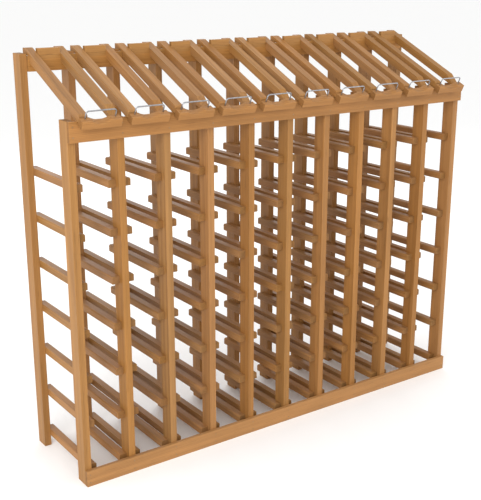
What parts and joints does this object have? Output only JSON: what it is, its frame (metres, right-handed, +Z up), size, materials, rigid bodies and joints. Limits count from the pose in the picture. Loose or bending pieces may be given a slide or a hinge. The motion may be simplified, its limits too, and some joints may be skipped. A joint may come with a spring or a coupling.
{
  "type": "wine rack",
  "caption": "Free-standing slatted wooden wine rack with columns of open bottle cells and a sloping display cradle with a wire bottle stop above each column.",
  "frame": {"origin": "centre of the footprint, on the floor", "axes": "+Z up, front of the rack faces -Y, +X to the right seen from the front"},
  "size_m": [1.0828, 0.2796, 0.9025],
  "materials": {
    "post_wood": "stained softwood, straight grain, satin",
    "rail_wood": "stained softwood, straight grain, satin",
    "board_wood": "stained softwood, straight grain, satin",
    "cradle_wood": "stained softwood, straight grain, satin",
    "stop_wire": "drawn steel wire",
    "brad_steel": "bright steel brads"
  },
  "bodies": {
    "root": {"front_post_01": "post_wood", "front_post_02": "post_wood", "front_post_03": "post_wood", "front_post_04": "post_wood", "front_post_05": "post_wood", "front_post_06": "post_wood", "front_post_07": "post_wood", "front_post_08": "post_wood", "front_post_09": "post_wood", "front_post_10": "post_wood", "front_post_11": "post_wood", "back_post_01": "post_wood", "back_post_02": "post_wood", "back_post_03": "post_wood", "back_post_04": "post_wood", "back_post_05": "post_wood", "back_post_06": "post_wood", "back_post_07": "post_wood", "back_post_08": "post_wood", "back_post_09": "post_wood", "back_post_10": "post_wood", "back_post_11": "post_wood", "bottle_rails_01": "rail_wood", "bottle_rails_02": "rail_wood", "bottle_rails_03": "rail_wood", "bottle_rails_04": "rail_wood", "bottle_rails_05": "rail_wood", "bottle_rails_06": "rail_wood", "bottle_rails_07": "rail_wood", "bottle_rails_08": "rail_wood", "bottle_rails_09": "rail_wood", "bottle_rails_10": "rail_wood", "bottle_rails_11": "rail_wood", "scooped_board_01": "board_wood", "scooped_board_02": "board_wood", "scooped_board_03": "board_wood", "scooped_board_04": "board_wood", "scooped_board_05": "board_wood", "scooped_board_06": "board_wood", "scooped_board_07": "board_wood", "scooped_board_08": "board_wood", "scooped_board_09": "board_wood", "scooped_board_10": "board_wood", "top_board": "board_wood", "kick_board": "board_wood", "rear_board": "board_wood", "cradle_rails_left": "cradle_wood", "cradle_rails_right": "cradle_wood", "cradle_rear_strips": "board_wood", "cradle_blocks": "rail_wood", "bottle_stops": "stop_wire", "board_brads": "brad_steel"}
  },
  "joints": []
}
